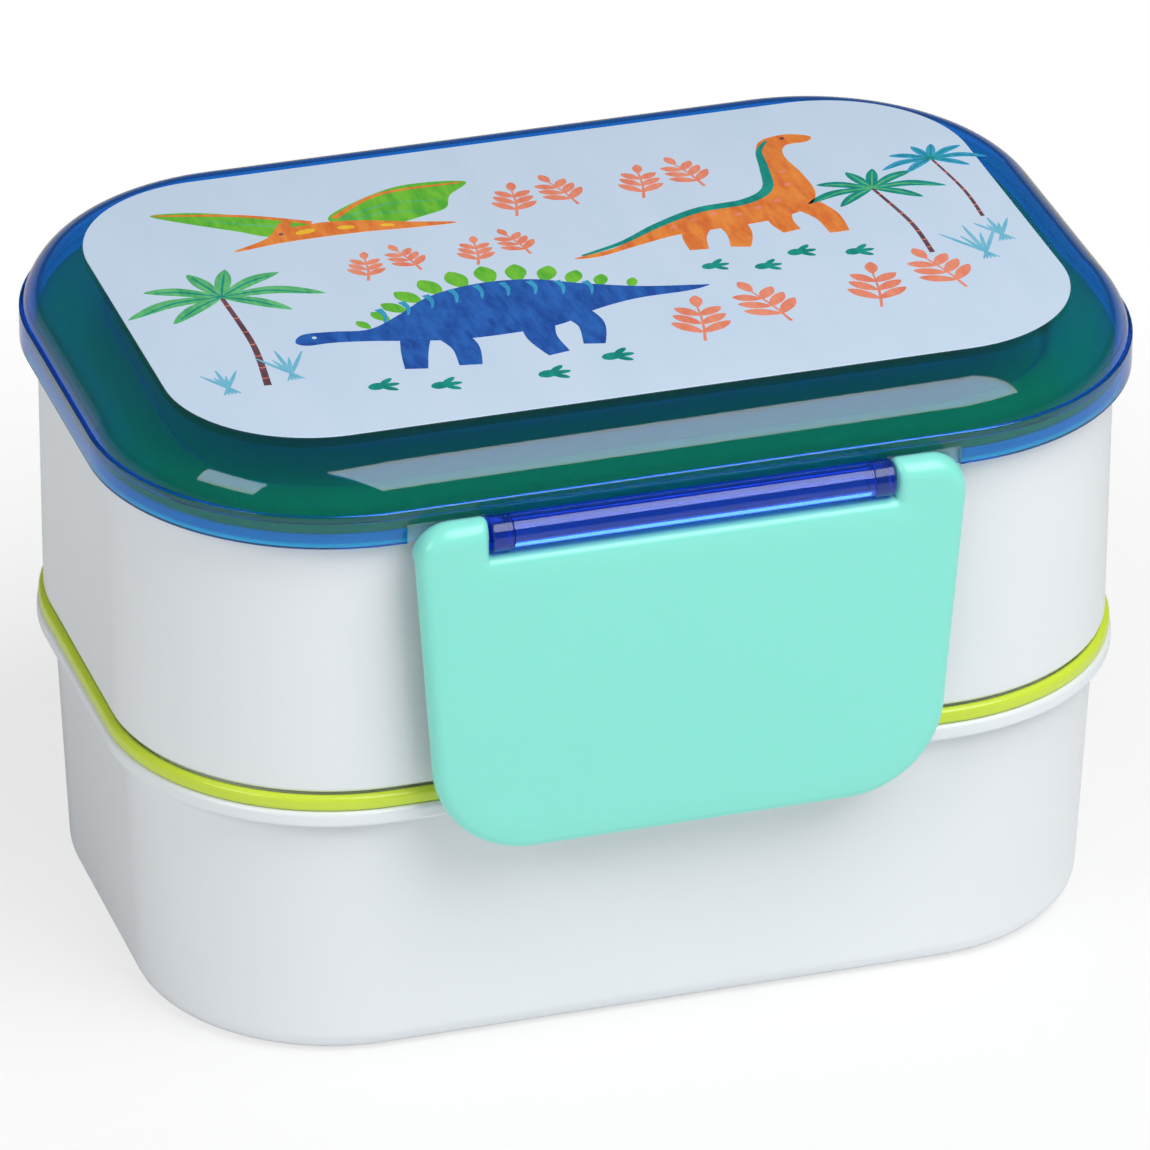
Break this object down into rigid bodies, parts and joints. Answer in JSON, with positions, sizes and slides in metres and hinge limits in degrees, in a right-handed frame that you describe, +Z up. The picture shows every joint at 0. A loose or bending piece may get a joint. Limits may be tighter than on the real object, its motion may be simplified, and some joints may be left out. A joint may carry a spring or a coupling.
{
  "type": "bento lunch box",
  "caption": "Two-tier plastic lunch box with sealing lids, a domed clear cover and hinged snap clips at the front and back.",
  "frame": {"origin": "centre of the base, on the surface the box stands on", "axes": "+X along the length, -Y towards the front clip, +Z up"},
  "size_m": [0.18, 0.1324, 0.1145],
  "materials": {
    "tier_plastic": "satin pale grey-white",
    "lime_plastic": "satin lime green",
    "gasket": "soft translucent silicone",
    "cover_blue": "clear royal blue, polished",
    "label": "printed pale blue film",
    "clip_mint": "satin mint green"
  },
  "bodies": {
    "lower_tier": {"lower_tier": "tier_plastic"},
    "middle_lid": {"middle_lid": "lime_plastic", "middle_lid_gasket": "gasket"},
    "upper_tier": {"upper_tier": "tier_plastic"},
    "divider": {"divider": "lime_plastic"},
    "inner_lid": {"inner_lid": "lime_plastic", "inner_lid_gasket": "gasket"},
    "cover": {"cover": "cover_blue", "label": "label"},
    "front_clip": {"front_clip": "clip_mint"},
    "back_clip": {"back_clip": "clip_mint"}
  },
  "joints": [
    {"name": "middle_lid_lift", "type": "slide", "parent": "lower_tier", "child": "middle_lid", "axis": [0, 0, 1], "range_m": [0, 0.06]},
    {"name": "upper_tier_lift", "type": "slide", "parent": "middle_lid", "child": "upper_tier", "axis": [0, 0, 1], "range_m": [0, 0.06]},
    {"name": "divider_slide", "type": "slide", "parent": "upper_tier", "child": "divider", "axis": [1, 0, 0], "range_m": [-0.05, 0.03]},
    {"name": "inner_lid_lift", "type": "slide", "parent": "upper_tier", "child": "inner_lid", "axis": [0, 0, 1], "range_m": [0, 0.06]},
    {"name": "cover_lift", "type": "slide", "parent": "inner_lid", "child": "cover", "axis": [0, 0, 1], "range_m": [0, 0.06]},
    {"name": "front_clip_hinge", "type": "hinge", "parent": "cover", "child": "front_clip", "pos_m": [0, -0.0631, 0.1004], "axis": [-1, 0, 0], "range_deg": [0, 105]},
    {"name": "back_clip_hinge", "type": "hinge", "parent": "cover", "child": "back_clip", "pos_m": [0, 0.0631, 0.1004], "axis": [1, 0, 0], "range_deg": [0, 105]}
  ]
}
